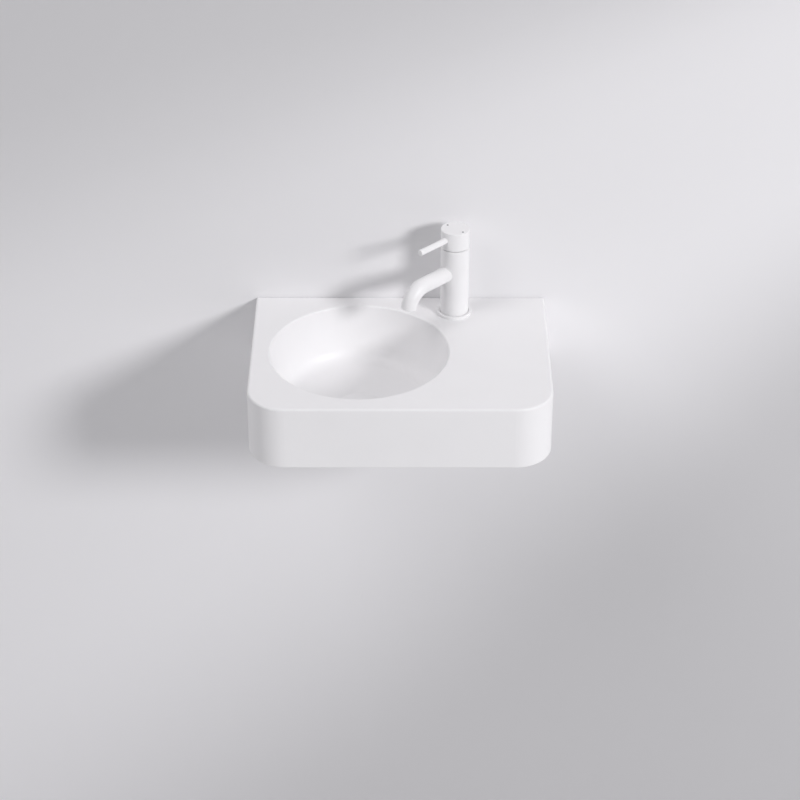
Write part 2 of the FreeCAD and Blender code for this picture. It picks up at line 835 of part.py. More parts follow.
def make_tap_body():
    blank = turned("tap_body_blank", [
        (zero, body_bottom),
        (body_radius, body_bottom),
        (body_radius, body_top - size.body_top_chamfer),
        (body_radius - size.body_top_chamfer, body_top),
        (nut_bore_radius, body_top),
        (nut_bore_radius, housing_top),
        (pocket_radius, housing_top),
        (pocket_radius, seat_height),
        (zero, seat_height),
    ])
    tools = []
    for side, name in ((size.inlet_spread, "left"), (-size.inlet_spread, "right")):
        start = (size.inlet_forward, side, body_bottom - over)
        tools.append(rod(f"{name}_inlet_thread", size.inlet_thread_radius, size.inlet_thread_depth + over, start))
    for side, name in ((size.inlet_port_spread, "left"), (-size.inlet_port_spread, "right")):
        start = (size.inlet_port_forward, side, body_bottom)
        tools.append(rod(f"{name}_inlet_way", size.port_radius, seat_height - body_bottom + over, start))
    outlet = (-size.outlet_port_back, zero, size.spout_height)
    tools.append(rod("outlet_way", size.port_radius, seat_height - size.spout_height + over, outlet))
    spigot_end = socket_floor - size.spigot_length
    cross_length = size.outlet_port_back + spigot_end
    tools.append(rod("cross_way", size.port_radius, cross_length, outlet, X_AXIS))
    spigot_start = (spigot_end - size.spigot_wall / 2, zero, size.spout_height)
    spigot_bore = size.spigot_radius + size.socket_clearance
    tools.append(rod("spigot_bore", spigot_bore, size.spigot_length + size.spigot_wall, spigot_start, X_AXIS))
    socket_start = (socket_floor, zero, size.spout_height)
    socket_bore = size.spout_radius + size.socket_clearance
    tools.append(rod("spout_socket", socket_bore, body_radius - socket_floor + over, socket_start, X_AXIS))
    stud_start = (-size.stud_back, zero, body_bottom - over)
    stud_hole = size.stud_engagement + size.stud_hole_spare + over
    tools.append(rod("stud_hole", size.stud_radius + size.thread_clearance, stud_hole, stud_start))
    finished(cut("tap_body", blank, tools), "tap_body", "tap")


def make_base():
    bore = size.tap_hole_radius - size.ring_bore_step
    seal_inner = size.tap_hole_radius + size.base_seal_inset
    seal_outer = seal_inner + size.base_seal_width
    outer = seal_outer + size.ring_rim
    lip = body_radius + size.ring_gap
    top = size.ring_floor + size.ring_lip_height
    body = doc.addObject("PartDesign::Body", "base_ring")
    profile = outline(body, "base_ring_profile", "XZ_Plane", [
        (bore, zero),
        (seal_inner, zero),
        (seal_inner, size.base_seal_thickness),
        (seal_outer, size.base_seal_thickness),
        (seal_outer, zero),
        (outer, zero),
        (outer, top),
        (lip, top),
        (lip, size.ring_floor),
        (bore, size.ring_floor),
    ])
    turn = spun(body, "Revolution", "base_ring_turn", profile)
    doc.recompute()
    turn = rounded(body, "base_ring_edge", turn, circle_edges(turn.Shape, outer, top), size.ring_round)
    doc.recompute()
    rounded(body, "base_ring_inner_edge", turn, circle_edges(turn.Shape, lip, top), size.ring_inner_round)
    finished(body, "base_ring", "tap")
    finished(ring("base_seal", seal_outer, seal_inner, zero, size.base_seal_thickness), "base_seal", "tap")


def make_fixing():
    slot_half = size.inlet_spread + size.inlet_thread_radius + size.pad_slot_margin
    outer = size.tap_hole_radius + size.pad_width
    level = -size.deck_thickness
    for label, thickness in (("horseshoe_pad", size.pad_thickness), ("horseshoe_washer", size.horseshoe_thickness)):
        bottom = level - thickness
        disc = rod(f"{label}_disc", outer, thickness, (zero, zero, bottom))
        slot_extents = (outer + size.pad_slot_back + over, slot_half * 2, thickness + over * 2)
        slot = block(f"{label}_slot", slot_extents, (-size.pad_slot_back, -slot_half, bottom - over))
        hole_start = (-size.stud_back, zero, bottom - over)
        hole_radius = size.stud_radius + size.pad_hole_clearance
        hole = rod(f"{label}_hole", hole_radius, thickness + over * 2, hole_start)
        finished(cut(label, disc, [slot, hole]), label, "tap")
        level = bottom
    nut_bottom = level - size.nut_height
    nut = hexagon("fixing_nut_blank", size.nut_corner_radius, size.nut_height, (-size.stud_back, zero, nut_bottom))
    thread_start = (-size.stud_back, zero, nut_bottom - over)
    thread = rod("fixing_nut_thread", size.stud_radius + size.thread_clearance, size.nut_height + over * 2, thread_start)
    finished(cut("fixing_nut", nut, [thread]), "fixing_nut", "tap")
    foot = nut_bottom - size.stud_tail
    top = body_bottom + size.stud_engagement
    inner = size.stud_radius - size.stud_chamfer
    stud = turned("fixing_stud", [
        (zero, foot),
        (inner, foot),
        (size.stud_radius, foot + size.stud_chamfer),
        (size.stud_radius, top - size.stud_chamfer),
        (inner, top),
        (zero, top),
    ])
    finished(stud, "fixing_stud", "tap", (-size.stud_back, zero, zero))


def spout_tip():
    """Forward and upward place of the middle of the spout's end face."""
    turn = size.spout_bend
    forward = size.spout_straight + size.spout_bend_radius * sine(turn) + size.spout_end_length * cosine(turn)
    fall = size.spout_bend_radius * (as_term(1) - cosine(turn)) + size.spout_end_length * sine(turn)
    return forward, size.spout_height - fall


def spout_run(name, radius, start, end_spare):
    """The straight, the bend and the short end of the spout as one solid of a given radius."""
    straight = rod(f"{name}_straight", radius, size.spout_straight - start, (start, zero, size.spout_height), X_AXIS)
    bend = doc.addObject("Part::Torus", f"{name}_bend")
    bend.Placement.Rotation = FreeCAD.Rotation(FreeCAD.Vector(1, 1, 1), -FULL_TURN / 3)
    bind(bend, {
        "Radius1": size.spout_bend_radius,
        "Radius2": radius,
        "Angle3": size.spout_bend,
        "Placement.Base.x": size.spout_straight,
        "Placement.Base.z": size.spout_height - size.spout_bend_radius,
    })
    turn = size.spout_bend
    end = doc.addObject("Part::Cylinder", f"{name}_end")
    end.Placement.Rotation = FreeCAD.Rotation(Y_AXIS, RIGHT_ANGLE)
    bind(end, {
        "Radius": radius,
        "Height": size.spout_end_length + end_spare,
        "Placement.Rotation.Angle": turn + RIGHT_ANGLE,
        "Placement.Base.x": size.spout_straight + size.spout_bend_radius * sine(turn),
        "Placement.Base.z": size.spout_height - size.spout_bend_radius * (as_term(1) - cosine(turn)),
    })
    return joined(name, [straight, bend, end])


def make_spout():
    outside = spout_run("spout_outside", size.spout_radius, socket_floor, zero)
    spigot_start = socket_floor - size.spigot_length
    spigot = rod("spout_spigot", size.spigot_radius, size.spigot_length + over, (spigot_start, zero, size.spout_height), X_AXIS)
    blank = joined("spout_blank", [outside, spigot])
    inside = spout_run("spout_inside", size.spout_bore_radius, socket_floor + size.spigot_step, over)
    entry_start = (spigot_start - over, zero, size.spout_height)
    entry_length = size.spigot_length + size.spigot_step + over * 2
    entry = rod("spout_entry", size.spigot_radius - size.spigot_wall, entry_length, entry_start, X_AXIS)
    forward, height = spout_tip()
    depth = size.aerator_recess + size.aerator_height + size.aerator_seal_thickness
    turn = size.spout_bend
    mouth = doc.addObject("Part::Cylinder", "spout_mouth")
    mouth.Placement.Rotation = FreeCAD.Rotation(Y_AXIS, RIGHT_ANGLE)
    bind(mouth, {
        "Radius": size.aerator_radius + size.aerator_clearance,
        "Height": depth + over,
        "Placement.Rotation.Angle": turn + RIGHT_ANGLE,
        "Placement.Base.x": forward - depth * cosine(turn),
        "Placement.Base.z": height + depth * sine(turn),
    })
    tube = cut("spout_tube", blank, [inside, entry, mouth])
    doc.recompute()
    tip = FreeCAD.Vector(forward.number, 0, height.number)
    chosen = []
    for index, edge in enumerate(tube.Shape.Edges, 1):
        if is_circle(edge, size.spout_radius) and near((edge.Curve.Center - tip).Length, 0.0):
            chosen.append(index)
    spout = doc.addObject("Part::Fillet", "spout")
    spout.Base = tube
    spout.Edges = [(index, SIZES["spout_end_round"], SIZES["spout_end_round"]) for index in chosen]
    finished(spout, "spout", "tap")


def make_aerator():
    """Pieces in the spout's mouth; their own upright axis points out of the spout and is zero at its end face."""
    forward, height = spout_tip()
    place = (forward, zero, height)
    lean = FreeCAD.Rotation(Y_AXIS, size.spout_bend.number + RIGHT_ANGLE)
    face = -size.aerator_recess
    back = face - size.aerator_height
    bore = size.aerator_radius - size.aerator_wall
    housing = turned("aerator_housing", [
        (bore, back),
        (size.aerator_radius, back),
        (size.aerator_radius, face),
        (bore - size.aerator_ledge, face),
        (bore - size.aerator_ledge, face - size.aerator_ledge_height),
        (bore, face - size.aerator_ledge_height),
    ])
    finished(housing, "aerator_housing", "tap", place, lean)
    seal_inner = size.aerator_radius - size.aerator_seal_width
    seal = ring("aerator_seal", size.aerator_radius, seal_inner, back - size.aerator_seal_thickness, back)
    finished(seal, "aerator_seal", "tap", place, lean)
    top = face - size.aerator_ledge_height
    bottom = top - size.insert_height
    disc = rod("insert_disc", bore - size.insert_play, size.insert_height, (zero, zero, bottom))
    holes = [(zero, zero)]
    for circle in range(1, INSERT_RINGS):
        count = HEX_SIDES * circle
        for index in range(count):
            turn = as_term(FULL_TURN * index / count)
            reach = size.insert_hole_pitch * circle
            holes.append((reach * cosine(turn), reach * sine(turn)))
    tools = []
    for index, (across, up) in enumerate(holes, 1):
        start = (across, up, bottom - over)
        tools.append(rod(f"insert_hole_{index}", size.insert_hole_radius, size.insert_height + over * 2, start))
    finished(cut("aerator_insert", disc, tools), "aerator_insert", "tap", place, lean)


# Cartridge

PORTS = (
    ("left", size.inlet_port_forward, size.inlet_port_spread),
    ("right", size.inlet_port_forward, -size.inlet_port_spread),
    ("outlet", -size.outlet_port_back, zero),
)


def ported(name, blank, bottom, top):
    """Cuts the three water ports through a disc that lies between two heights."""
    tools = []
    for port, forward, side in PORTS:
        start = (forward, side, bottom - over)
        tools.append(rod(f"{name}_{port}_port", size.port_radius, top - bottom + over * 2, start))
    return cut(name, blank, tools)


def make_cartridge_body():
    seal_outer = size.port_radius + size.port_seal_wall
    base = rod("base_disc", size.cartridge_radius, size.base_thickness, (zero, zero, seat_height))
    grooves = []
    for port, forward, side in PORTS:
        start = (forward, side, seat_height - over)
        grooves.append(rod(f"{port}_groove", seal_outer, size.port_seal_height + over, start))
    grooved = cut("grooved_base", base, grooves)
    finished(ported("cartridge_base", grooved, seat_height, disc_height), "cartridge_base", "tap")
    seals = []
    for port, forward, side in PORTS:
        outside = rod(f"{port}_seal_outside", seal_outer, size.port_seal_height, (forward, side, seat_height))
        start = (forward, side, seat_height - over)
        inside = rod(f"{port}_seal_inside", size.port_radius, size.port_seal_height + over * 2, start)
        seals.append(cut(f"{port}_seal", outside, [inside]))
    finished(joined("port_seals", seals), "port_seals", "tap")

    bore = size.cartridge_radius - size.housing_side
    disc_radius = bore - size.fixed_disc_play
    disc = rod("fixed_disc_blank", disc_radius, size.fixed_disc_thickness, (zero, zero, disc_height))
    finished(ported("fixed_disc", disc, disc_height, moving_height), "fixed_disc", "tap")

    neck_hole = size.neck_radius + size.neck_play
    housing = turned("cartridge_housing", [
        (bore, disc_height),
        (size.cartridge_radius, disc_height),
        (size.cartridge_radius, housing_top),
        (neck_hole, housing_top),
        (neck_hole, housing_top - size.housing_top),
        (bore, housing_top - size.housing_top),
    ])
    finished(housing, "cartridge_housing", "tap")

    nut_outer = pocket_radius + size.nut_step
    nut_bore = size.neck_radius + size.cartridge_nut_bore_play
    nut = ring("cartridge_nut_blank", nut_outer, nut_bore, housing_top, nut_top)
    slots = []
    for index in range(NUT_SLOTS // 2):
        half = nut_outer + over
        extents = [half * 2, size.nut_slot_width, size.nut_slot_depth + over]
        corner = [-half, -size.nut_slot_width / 2, nut_top - size.nut_slot_depth]
        if index:
            extents[0], extents[1] = extents[1], extents[0]
            corner[0], corner[1] = corner[1], corner[0]
        slots.append(block(f"nut_slot_{index + 1}", extents, corner))
    finished(cut("cartridge_nut", nut, slots), "cartridge_nut", "tap")


def make_turning_parts():
    """Guide, pin, disc and its carrier; they turn with the handle and stand in its frame."""
    disc = rod("moving_disc_blank", size.moving_disc_radius, size.moving_disc_thickness, (zero, zero, moving_height))
    start = (-size.mixing_recess_back, zero, moving_height - over)
    recess = rod("mixing_recess", size.mixing_recess_radius, size.mixing_recess_depth + over, start)
    finished(cut("moving_disc", disc, [recess]), "moving_disc", "handle")

    carrier_top = carrier_height + size.carrier_thickness
    carrier = rod("carrier_blank", size.moving_disc_radius, size.carrier_thickness, (zero, zero, carrier_height))
    half = size.ball_radius + size.ball_play
    depth = size.carrier_thickness - size.carrier_floor
    corner = (-half, -half, carrier_top - depth)
    pocket = block("ball_pocket", (half * 2, half * 2, depth + over), corner)
    finished(cut("disc_carrier", carrier, [pocket]), "disc_carrier", "handle")

    flange = size.cartridge_radius - size.housing_side - size.guide_side_play
    neck_top = housing_top + size.neck_rise
    guide = turned("spindle_guide_blank", [
        (zero, guide_height),
        (flange, guide_height),
        (flange, guide_top),
        (size.neck_radius, guide_top),
        (size.neck_radius, neck_top),
        (zero, neck_top),
    ])
    slot_half = size.stem_width / 2 + size.slot_play
    extents = (size.slot_back + size.slot_front, slot_half * 2, neck_top - guide_height + over * 2)
    slot = block("guide_slot", extents, (-size.slot_back, -slot_half, guide_height - over))
    pin_start = (zero, -flange - over, pivot_height)
    pin_hole = rod("guide_pin_hole", size.pivot_radius + size.pivot_play, (flange + over) * 2, pin_start, Y_AXIS)
    finished(cut("spindle_guide", guide, [slot, pin_hole]), "spindle_guide", "handle")
    half_pin = flange - size.pivot_inset
    pin_end = size.pivot_radius - size.pivot_chamfer
    pin = turned("pivot_pin", [
        (zero, -half_pin),
        (pin_end, -half_pin),
        (size.pivot_radius, size.pivot_chamfer - half_pin),
        (size.pivot_radius, half_pin - size.pivot_chamfer),
        (pin_end, half_pin),
        (zero, half_pin),
    ])
    finished(pin, "pivot_pin", "handle", (zero, zero, pivot_height), FreeCAD.Rotation(Z_AXIS, Y_AXIS))


def make_spindle():
    half = size.stem_width / 2
    top = socket_top - size.socket_end_play
    stem = block("stem", (size.stem_width, size.stem_width, top - pivot_height), (-half, -half, pivot_height))
    eye = rod("eye", size.eye_radius, size.stem_width, (zero, -half, pivot_height), Y_AXIS)
    arm = rod("arm", size.arm_radius, size.arm_length, (zero, zero, pivot_height - size.arm_length))
    ball = doc.addObject("Part::Sphere", "arm_ball")
    bind(ball, {"Radius": size.ball_radius, "Placement.Base.z": pivot_height - size.arm_length})
    blank = joined("spindle_blank", [stem, eye, arm, ball])
    hole_start = (zero, -half - over, pivot_height)
    hole = rod("eye_hole", size.pivot_radius + size.pivot_play * 2, size.stem_width + over * 2, hole_start, Y_AXIS)
    finished(cut("spindle", blank, [hole]), "spindle", "handle")


# Handle, in its own frame: +X points along the lever


def make_handle():
    inner = body_radius - size.skirt_wall
    ceiling = head_bottom + size.cavity_depth
    body = doc.addObject("PartDesign::Body", "lever_head_blank")
    profile = outline(body, "lever_head_profile", "XZ_Plane", [
        (zero, socket_bottom),
        (size.head_boss_radius, socket_bottom),
        (size.head_boss_radius, ceiling),
        (inner, ceiling),
        (inner, head_bottom),
        (body_radius - size.skirt_chamfer, head_bottom),
        (body_radius, head_bottom + size.skirt_chamfer),
        (body_radius, head_top),
        (zero, head_top),
    ])
    turn = spun(body, "Revolution", "lever_head_turn", profile)
    doc.recompute()
    rounded(body, "lever_head_edge", turn, circle_edges(turn.Shape, body_radius, head_top), size.head_round)

    socket_half = size.stem_width / 2 + size.socket_play
    socket_extents = (socket_half * 2, socket_half * 2, size.socket_depth + over)
    tools = [block("stem_socket", socket_extents, (-socket_half, -socket_half, socket_bottom - over))]
    hole_radius = size.lever_radius + size.lever_hole_play
    hole_length = body_radius - size.lever_seat + over
    tools.append(rod("lever_hole", hole_radius, hole_length, (size.lever_seat, zero, lever_height), X_AXIS))
    screw_start = size.lever_seat - size.lever_screw_length - size.lever_hole_spare
    screw_length = size.lever_screw_length + size.lever_hole_spare + over
    screw_radius = size.lever_screw_radius + size.thread_clearance
    tools.append(rod("lever_thread", screw_radius, screw_length, (screw_start, zero, lever_height), X_AXIS))
    grub_height = head_top - size.grub_drop
    back = body_radius + over
    tools.append(rod("grub_hole", size.grub_radius + size.thread_clearance, back, (-back, zero, grub_height), X_AXIS))
    mark_bottom = head_top - size.mark_depth
    for side, name in ((size.mark_circle_radius, "left"), (-size.mark_circle_radius, "right")):
        tools.append(rod(f"{name}_mark_recess", size.mark_radius, size.mark_depth + over, (zero, side, mark_bottom)))
    finished(cut("lever_head", body, tools), "lever_head", "handle")
    marks = []
    for side, name in ((size.mark_circle_radius, "left"), (-size.mark_circle_radius, "right")):
        marks.append(rod(f"{name}_mark", size.mark_radius, size.mark_depth, (zero, side, mark_bottom)))
    finished(joined("head_marks", marks), "head_marks", "handle")

    screw_end = size.lever_seat - size.lever_screw_length
    lever = doc.addObject("PartDesign::Body", "lever_pin")
    profile = outline(lever, "lever_pin_profile", "XZ_Plane", [
        (zero, screw_end),
        (size.lever_screw_radius, screw_end),
        (size.lever_screw_radius, size.lever_seat),
        (size.lever_radius, size.lever_seat),
        (size.lever_radius, size.lever_reach),
        (zero, size.lever_reach),
    ])
    turn = spun(lever, "Revolution", "lever_pin_turn", profile)
    doc.recompute()
    rounded(lever, "lever_pin_end", turn, circle_edges(turn.Shape, size.lever_radius, size.lever_reach), size.lever_end_round)
    forward = FreeCAD.Rotation(Z_AXIS, X_AXIS)
    finished(lever, "lever_pin", "handle", (zero, zero, lever_height), forward)

    stem_face = size.stem_width / 2
    grub_start = (-stem_face - size.grub_length, zero, grub_height)
    grub = rod("grub_blank", size.grub_radius, size.grub_length, grub_start, X_AXIS)
    key = hexagon("grub_key", size.grub_hex_radius, size.grub_hex_depth + over, (-stem_face - size.grub_length - over, zero, grub_height))
    key.Placement.Rotation = FreeCAD.Rotation(Z_AXIS, X_AXIS)
    finished(cut("grub_screw", grub, [key]), "grub_screw", "handle")
    cover_outer = body_radius - size.cover_setback
    cover = rod("screw_cover", size.grub_radius, size.cover_length, (zero, zero, zero))
    finished(cover, "screw_cover", "handle", (-cover_outer, zero, grub_height), forward)


def check_and_write():
    doc.recompute()
    faulty = [thing.Name for thing in doc.Objects if "Invalid" in thing.State or "Error" in thing.State]
    if faulty:
        raise RuntimeError(f"these objects failed: {faulty}")
    for label, thing in pieces.items():
        shape = thing.Shape
        if shape.isNull() or not shape.isValid() or not shape.Solids:
            raise RuntimeError(f"{label} has no valid shape")
    os.makedirs("parts", exist_ok=True)
    for label, thing in pieces.items():
        thing.Shape.exportStep(f"parts/{label}.step")
        box = thing.Shape.BoundBox
        corners = f"{box.XMin:.1f} {box.YMin:.1f} {box.ZMin:.1f} to {box.XMax:.1f} {box.YMax:.1f} {box.ZMax:.1f}"
        print(f"{label}: {len(thing.Shape.Solids)} solid, {thing.Shape.Volume:.1f} cubic mm, {corners}")


make_basin()
make_waste()
make_click_unit()
make_tap_body()
make_base()
make_fixing()
make_spout()
make_aerator()
make_cartridge_body()
make_turning_parts()
make_spindle()
make_handle()
check_and_write()
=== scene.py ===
"""Looks of a small matt-white wall-hung basin with a pin-lever mixer. Metres."""

import json
import math

import bmesh
import bpy
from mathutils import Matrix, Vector


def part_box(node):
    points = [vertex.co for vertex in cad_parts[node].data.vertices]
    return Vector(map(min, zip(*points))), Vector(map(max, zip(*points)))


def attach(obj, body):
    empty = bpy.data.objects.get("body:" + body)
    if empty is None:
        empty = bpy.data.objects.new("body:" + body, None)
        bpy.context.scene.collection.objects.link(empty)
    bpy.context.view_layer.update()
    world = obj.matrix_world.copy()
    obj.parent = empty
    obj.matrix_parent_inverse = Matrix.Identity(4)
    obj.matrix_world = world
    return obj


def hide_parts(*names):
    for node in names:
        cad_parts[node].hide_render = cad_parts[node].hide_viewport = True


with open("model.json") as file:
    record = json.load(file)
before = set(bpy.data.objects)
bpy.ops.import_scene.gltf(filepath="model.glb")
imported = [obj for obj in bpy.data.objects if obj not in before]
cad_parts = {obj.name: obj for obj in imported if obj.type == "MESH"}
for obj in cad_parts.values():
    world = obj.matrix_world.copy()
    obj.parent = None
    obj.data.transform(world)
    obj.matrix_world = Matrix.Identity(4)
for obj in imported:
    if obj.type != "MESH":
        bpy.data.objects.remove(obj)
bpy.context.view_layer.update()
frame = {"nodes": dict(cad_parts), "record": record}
nodes = frame["nodes"]

# Camera fitted to the photograph
CAMERA_PLACE = (0.0040, -2.8009, 1.6512)
CAMERA_PITCH = math.radians(32.36)
CAMERA_YAW = math.radians(0.09)
CAMERA_REACH = 50.0
FOCAL_PIXELS = 2317.0
PICTURE_PIXELS = 800.0
SENSOR_MM = 36.0

# Room. The wall laps behind the edge of the basin's rear face.
WALL_SETBACK = 0.0014
WALL_LAP = 0.002
WALL_HALF = 6.0
FLOOR_HEIGHT = -1.0
WALL_COLOUR = (0.805, 0.80, 0.81)
FLOOR_COLOUR = (0.80, 0.795, 0.80)

# The wall's pale band is painted light: a beam of light painted into the wall's colour. It fans out
# from a point up to the right of the basin. A slope is the drop below that point over the way to its
# left; each has its share of the wall's colour.
LIGHT_BAND_ACROSS = 1.574
LIGHT_BAND_HEIGHT = 0.96
LIGHT_BAND_LEAST_WAY = 0.3
LIGHT_BAND_FIRST_SLOPE = 0.2
LIGHT_BAND_LAST_SLOPE = 1.2
# Painted light by slope: shares above 1 are the painted beam, shares below 1 are painted shade outside
# it
LIGHT_BAND_TONES = (
    (0.22, 0.78),
    (0.30, 0.82),
    (0.36, 0.92),
    (0.40, 0.99),
    (0.44, 1.05),
    (0.50, 1.085),
    (0.60, 1.09),
    (0.72, 1.115),
    (0.80, 1.07),
    (0.88, 0.99),
    (0.96, 0.90),
    (1.04, 0.82),
    (1.12, 0.78),
)

# Screw threads that show under the basin. Each thread: pitch, depth and steps in a turn.
PIPE_THREAD = (0.002309, 0.00115, 48)
STUD_THREAD = (0.00125, 0.0006, 24)
TAIL_RADIUS = 0.020955
TRAP_THREAD_LENGTH = 0.034
RELIEF_WIDTH = 0.003
STUD_RADIUS = 0.004

# Half the flat top of a thread's ridge and how far its cutter stands out of the surface, both as
# shares of the pitch; the turn over which a groove runs out, and the share of its depth left there
THREAD_CREST = 0.06
CUTTER_SPARE = 0.06
RUN_OUT_TURN = 0.5
RUN_OUT_DEPTH = 0.02

# Meshes
WELD_DISTANCE = 0.000001
SMOOTH_ANGLE = math.radians(32.0)

# Lamps: name, direction from the basin, distance, width, power, colour
LAMPS = (
    ("key_lamp", (1.075, -1.0, 0.63), 6.0, 1.3, 197.0, (1.0, 0.99, 1.01)),
    ("fill_lamp", (-1.0, -0.6, 1.5), 4.0, 2.4, 45.0, (1.0, 0.977, 0.998)),
)
LAMP_AIM = (0.0, -0.10, 0.05)
WORLD_STRENGTH = 0.231
WORLD_COLOUR = (0.955, 0.975, 1.0)


def shade(colour, share):
    return tuple(channel * share for channel in colour)


class Graph:
    """A material's nodes, with short calls to add and join them."""

    def __init__(self, name):
        self.material = bpy.data.materials.new(name)
        self.material.use_nodes = True
        self.tree = self.material.node_tree
        self.tree.nodes.clear()
        self.output = self.add("ShaderNodeOutputMaterial")
        self.coordinates = self.add("ShaderNodeTexCoord")

    def add(self, kind, **settings):
        node = self.tree.nodes.new(kind)
        for key, value in settings.items():
            setattr(node, key, value)
        return node

    def join(self, source, target):
        self.tree.links.new(source, target)

    def noise(self, scale, detail, roughness=0.55):
        node = self.add("ShaderNodeTexNoise")
        node.inputs["Scale"].default_value = scale
        node.inputs["Detail"].default_value = detail
        node.inputs["Roughness"].default_value = roughness
        self.join(self.coordinates.outputs["Object"], node.inputs["Vector"])
        return node.outputs["Fac"]

    def mapped(self, value, low, high, start=0.3, end=0.7):
        """Spreads the values between start and end, where most of a noise lies, from low to high."""
        node = self.add("ShaderNodeMapRange")
        for socket, number in zip(("From Min", "From Max", "To Min", "To Max"), (start, end, low, high)):
            node.inputs[socket].default_value = number
        self.join(value, node.inputs["Value"])
        return node.outputs["Result"]

    def ramp(self, value, stops, blend="LINEAR"):
        node = self.add("ShaderNodeValToRGB")
        node.color_ramp.interpolation = blend
        elements = node.color_ramp.elements
        while len(elements) < len(stops):
            elements.new(0.5)
        for element, (place, colour) in zip(elements, stops):
            element.position = place
            element.color = (*colour, 1.0)
        self.join(value, node.inputs["Fac"])
        return node.outputs["Color"]

    def mottled(self, value, colour, share, start=0.3, end=0.7):
        """Clouds the colour: from a darker share of it up to the colour itself."""
        return self.ramp(value, ((start, shade(colour, share)), (end, colour)))

    def maths(self, operation, first, second):
        node = self.add("ShaderNodeMath", operation=operation)
        for socket, value in zip(node.inputs, (first, second)):
            if isinstance(value, (int, float)):
                socket.default_value = value
            else:
                self.join(value, socket)
        return node.outputs["Value"]

    def bump(self, height, distance, below=None):
        node = self.add("ShaderNodeBump")
        node.inputs["Strength"].default_value = 1.0
        node.inputs["Distance"].default_value = distance
        self.join(height, node.inputs["Height"])
        if below is not None:
            self.join(below, node.inputs["Normal"])
        return node.outputs["Normal"]

    def principled(self, **values):
        node = self.add("ShaderNodeBsdfPrincipled")
        for name, value in values.items():
            socket = node.inputs[name.replace("_", " ")]
            if isinstance(value, bpy.types.NodeSocket):
                self.join(value, socket)
            else:
                socket.default_value = value
        self.join(node.outputs["BSDF"], self.output.inputs["Surface"])
        return node

    def clear_from_behind(self, paint):
        """Lets the object be seen through the back of a wall or floor."""
        side = self.add("ShaderNodeNewGeometry")
        clear = self.add("ShaderNodeBsdfTransparent")
        choice = self.add("ShaderNodeMixShader")
        self.join(side.outputs["Backfacing"], choice.inputs["Fac"])
        self.join(paint.outputs["BSDF"], choice.inputs[1])
        self.join(clear.outputs["BSDF"], choice.inputs[2])
        self.join(choice.outputs["Shader"], self.output.inputs["Surface"])


def matt_ceramic():
    """Fine matt ceramic: slow clouding of colour, a faint orange peel and a slightly uneven sheen."""
    g = Graph("matt_ceramic")
    clouds = g.noise(scale=9.0, detail=2.0)
    waves = g.bump(g.noise(scale=60.0, detail=1.0), distance=0.00022)
    peel = g.bump(g.noise(scale=420.0, detail=2.0), distance=0.00003, below=waves)
    g.principled(
        Base_Color=g.mottled(clouds, (0.924, 0.918, 0.923), 0.985, start=0.35, end=0.65),
        Roughness=g.mapped(g.noise(scale=34.0, detail=4.0), low=0.42, high=0.52),
        Normal=peel,
    )
    return g.material


def white_coat():
    """Matt powder coat: a tight pebbled skin over metal."""
    g = Graph("white_coat")
    clouds = g.noise(scale=40.0, detail=2.0)
    flow = g.bump(g.noise(scale=160.0, detail=1.0), distance=0.00005)
    pebbles = g.bump(g.noise(scale=1500.0, detail=2.0), distance=0.000012, below=flow)
    g.principled(
        Base_Color=g.mottled(clouds, (0.920, 0.915, 0.919), 0.985, start=0.35, end=0.65),
        Roughness=g.mapped(g.noise(scale=300.0, detail=3.0), low=0.36, high=0.46),
        Normal=pebbles,
    )
    return g.material


def turned_metal(name, colour, roughness, pitch):
    """Machined metal: fine cutter marks across the upright axis and small changes of tone."""
    g = Graph(name)
    wave = g.add("ShaderNodeTexWave", bands_direction="Z")
    wave.inputs["Scale"].default_value = 1.0 / pitch
    wave.inputs["Distortion"].default_value = 1.5
    wave.inputs["Detail"].default_value = 2.0
    g.join(g.coordinates.outputs["Object"], wave.inputs["Vector"])
    g.principled(
        Base_Color=g.mottled(g.noise(scale=90.0, detail=2.0), colour, 0.9),
        Metallic=1.0,
        Roughness=g.mapped(g.noise(scale=240.0, detail=3.0), low=roughness * 0.8, high=roughness * 1.25),
        Normal=g.bump(wave.outputs["Fac"], distance=0.000008),
    )
    return g.material


def moulded(name, colour, roughness, grain, depth):
    """Plastic or rubber: a fine moulded grain and slight changes of tone."""
    g = Graph(name)
    g.principled(
        Base_Color=g.mottled(g.noise(scale=70.0, detail=3.0), colour, 0.93),
        Roughness=g.mapped(g.noise(scale=200.0, detail=3.0), low=roughness * 0.88, high=roughness * 1.1),
        Normal=g.bump(g.noise(scale=grain, detail=2.0), distance=depth),
    )
    return g.material


# Metals: colour, roughness and the pitch of the cutter marks. Plastics, rubber and the like: colour,
# roughness, and the scale and depth of the grain.
MATERIALS = {
    "matt_ceramic": matt_ceramic(),
    "white_coat": white_coat(),
    "polished_chrome": turned_metal("polished_chrome", (0.72, 0.73, 0.75), 0.12, 0.0011),
    "plain_brass": turned_metal("plain_brass", (0.70, 0.54, 0.27), 0.28, 0.0007),
    "stainless_steel": turned_metal("stainless_steel", (0.56, 0.56, 0.58), 0.3, 0.0006),
    "black_rubber": moulded("black_rubber", (0.022, 0.022, 0.023), 0.62, 900.0, 0.00003),
    "white_plastic": moulded("white_plastic", (0.78, 0.78, 0.77), 0.42, 1100.0, 0.00001),
    "grey_plastic": moulded("grey_plastic", (0.13, 0.135, 0.145), 0.4, 1100.0, 0.00001),
    "disc_ceramic": moulded("disc_ceramic", (0.82, 0.79, 0.74), 0.2, 1500.0, 0.000003),
    "grey_mark": moulded("grey_mark", (0.20, 0.20, 0.21), 0.35, 1500.0, 0.000004),
}

SLOTS = {part["node"]: part["material_slot"] for part in frame["record"]["subparts"]}
for node, slot in SLOTS.items():
    held = nodes[node].material_slots[0]
    held.link = "OBJECT"
    held.material = MATERIALS[slot]


